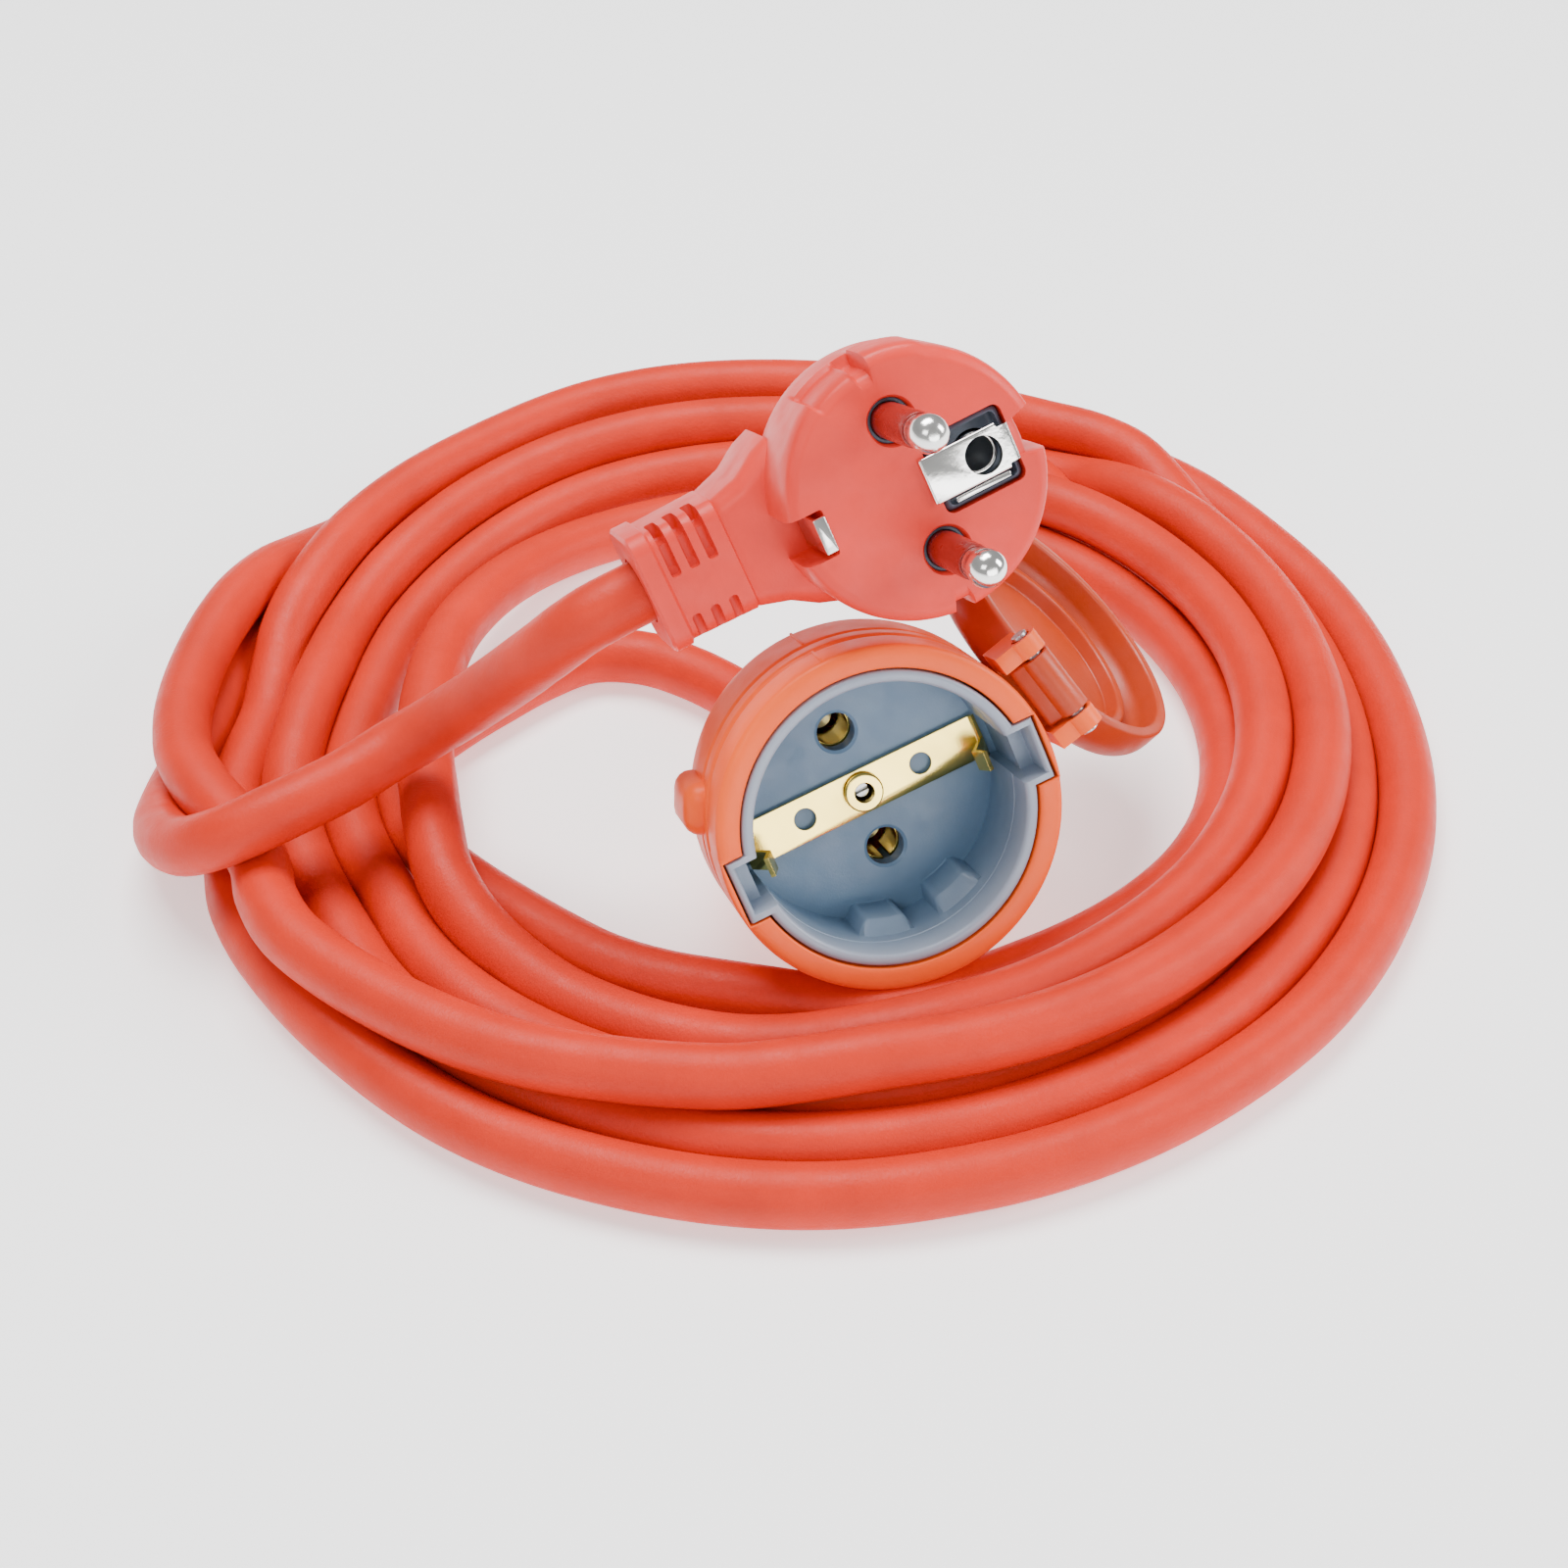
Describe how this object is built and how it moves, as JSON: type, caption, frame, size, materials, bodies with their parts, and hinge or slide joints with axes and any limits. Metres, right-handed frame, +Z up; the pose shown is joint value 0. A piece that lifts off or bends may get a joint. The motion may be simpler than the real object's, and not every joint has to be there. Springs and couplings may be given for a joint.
{
  "type": "extension cord",
  "caption": "Extension cord in a loose coil: angled earthed plug, round flexible cord and a trailing socket whose hinged splash lid is folded back.",
  "frame": {"origin": "on the floor plane, under the middle of the trailing socket with its lid folded back; the cord and the plug are left out of that box", "axes": "+Z up; the socket's mouth faces -Y, turned 14 degrees towards +X and 25 degrees upwards; +X to the right as seen from the mouth's side"},
  "size_m": [0.2047, 0.194, 0.0931],
  "materials": {
    "housing_orange": "moulded rubbery plastic, fine satin",
    "lid_red": "soft moulded rubbery plastic, satin",
    "plug_coral": "moulded rubbery plastic, satin",
    "cord_red": "smooth extruded sheath, satin",
    "insert_grey": "moulded hard plastic, satin",
    "carrier_navy": "moulded hard plastic, satin",
    "brass": "stamped sheet",
    "nickel": "nickel plated, softly polished",
    "steel": "zinc plated",
    "wire_brown": "extruded insulation",
    "wire_blue": "extruded insulation",
    "wire_green": "extruded insulation"
  },
  "bodies": {
    "socket_and_cord": {"clamp_bar_lower": "steel", "clamp_bar_upper": "steel", "clamp_screw_a": "steel", "clamp_screw_b": "steel", "contact_block": "insert_grey", "contact_carrier": "carrier_navy", "cord_boot": "housing_orange", "cord_coil": "cord_red", "cord_plug_lead": "cord_red", "cord_socket_lead": "cord_red", "earth_bracket": "brass", "earth_clip_far": "nickel", "earth_clip_neck": "nickel", "earth_eyelet": "brass", "earth_plate": "nickel", "earth_receptacle": "nickel", "earth_screw": "steel", "front_ring": "housing_orange", "hinge_bracket": "housing_orange", "hinge_pin": "steel", "pin_sleeve_live": "plug_coral", "pin_sleeve_neutral": "plug_coral", "plug_body": "plug_coral", "plug_neck": "plug_coral", "plug_pin_live": "nickel", "plug_pin_neutral": "nickel", "plug_wire_earth": "wire_green", "plug_wire_live": "wire_brown", "plug_wire_neutral": "wire_blue", "rear_housing": "housing_orange", "socket_contact_live": "brass", "socket_contact_neutral": "brass", "socket_insert": "insert_grey", "socket_wire_earth": "wire_green", "socket_wire_live": "wire_brown", "socket_wire_neutral": "wire_blue", "terminal_screw_live": "steel", "terminal_screw_neutral": "steel"},
    "lid": {"lid": "lid_red", "lid_seal": "lid_red"}
  },
  "joints": [
    {"name": "lid_hinge", "type": "hinge", "parent": "socket_and_cord", "child": "lid", "pos_m": [0.01719, -0.01211, 0.04501], "axis": [-0.6169, 0.3418, 0.7089], "range_deg": [-245, 0]}
  ]
}
